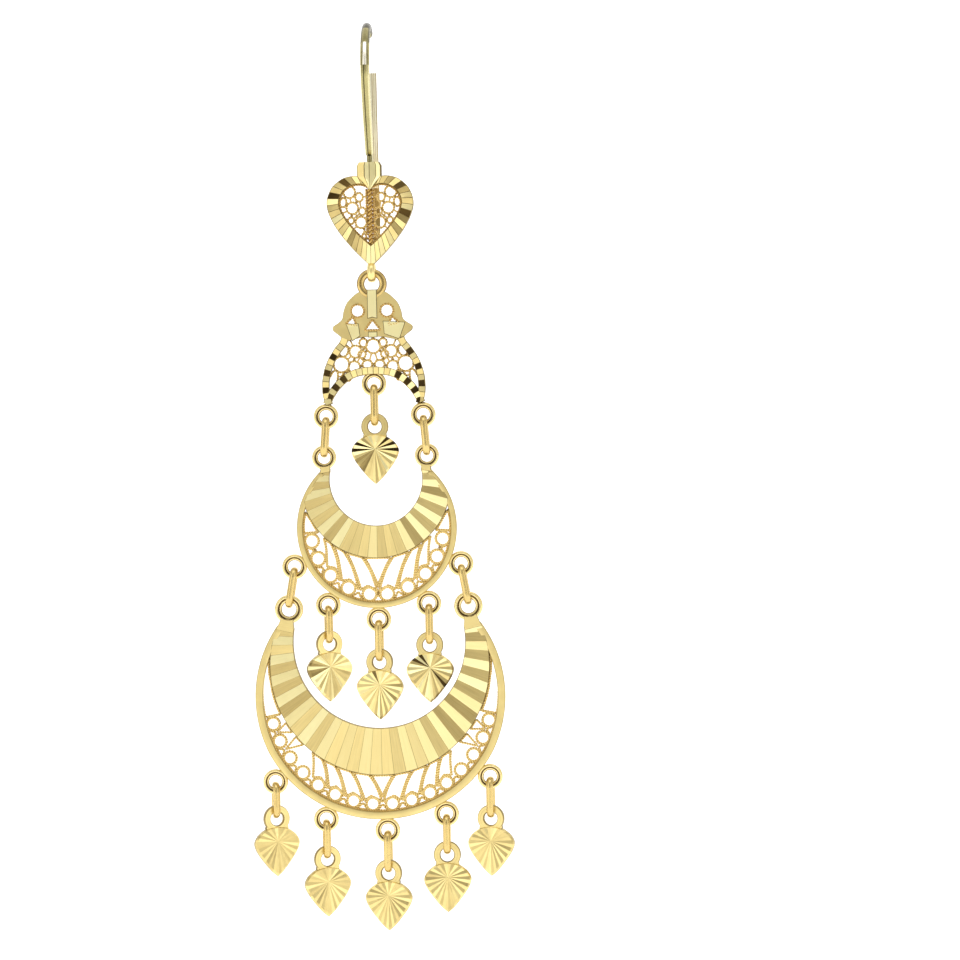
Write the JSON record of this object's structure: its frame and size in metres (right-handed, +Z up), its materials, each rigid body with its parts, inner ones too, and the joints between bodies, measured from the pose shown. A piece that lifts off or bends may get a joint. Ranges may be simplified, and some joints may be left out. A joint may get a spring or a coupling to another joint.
{
  "type": "chandelier earring",
  "caption": "Long hanging gold earring: hinged ear wire and catch over a pierced heart, a crown and crescent tiers with small heart drops.",
  "frame": {"origin": "underside of the ear wire's arch, where it rests in the ear lobe", "axes": "+Z up along the hanging earring, -Y towards its front, +X to the right as seen from the front"},
  "size_m": [0.0261, 0.0141, 0.0908],
  "materials": {
    "gold_wire": "polished yellow gold wire",
    "gold_fluted": "diamond-cut yellow gold with filigree",
    "gold_link": "polished yellow gold",
    "gold_star_cut": "star-cut bright yellow gold"
  },
  "bodies": {
    "ear_wire_body": {"ear_wire": "gold_wire"},
    "heart_body": {"heart": "gold_fluted"},
    "crown_body": {"crown": "gold_fluted", "link_crown": "gold_link", "drop_crown": "gold_star_cut"},
    "crescent_two_body": {"crescent_two": "gold_fluted", "link_two_left": "gold_link", "link_two_right": "gold_link", "link_two_1": "gold_link", "link_two_2": "gold_link", "link_two_3": "gold_link", "drop_two_1": "gold_star_cut", "drop_two_2": "gold_star_cut", "drop_two_3": "gold_star_cut"},
    "crescent_three_body": {"crescent_three": "gold_fluted", "link_three_left": "gold_link", "link_three_right": "gold_link", "link_three_1": "gold_link", "link_three_2": "gold_link", "link_three_3": "gold_link", "link_three_4": "gold_link", "link_three_5": "gold_link", "drop_three_1": "gold_star_cut", "drop_three_2": "gold_star_cut", "drop_three_3": "gold_star_cut", "drop_three_4": "gold_star_cut", "drop_three_5": "gold_star_cut"}
  },
  "joints": [
    {"name": "ear_wire_hinge", "type": "hinge", "parent": "ear_wire_body", "child": "heart_body", "pos_m": [0, 0.00045, -0.0136], "axis": [1, 0, 0], "range_deg": [-25, 25]},
    {"name": "crown_swing", "type": "hinge", "parent": "heart_body", "child": "crown_body", "pos_m": [0, 0, -0.02412], "axis": [1, 0, 0], "range_deg": [-30, 30]},
    {"name": "crescent_two_swing", "type": "hinge", "parent": "crown_body", "child": "crescent_two_body", "pos_m": [0, 0, -0.03935], "axis": [1, 0, 0], "range_deg": [-30, 30]},
    {"name": "crescent_three_swing", "type": "hinge", "parent": "crescent_two_body", "child": "crescent_three_body", "pos_m": [0, 0, -0.05431], "axis": [1, 0, 0], "range_deg": [-30, 30]}
  ]
}
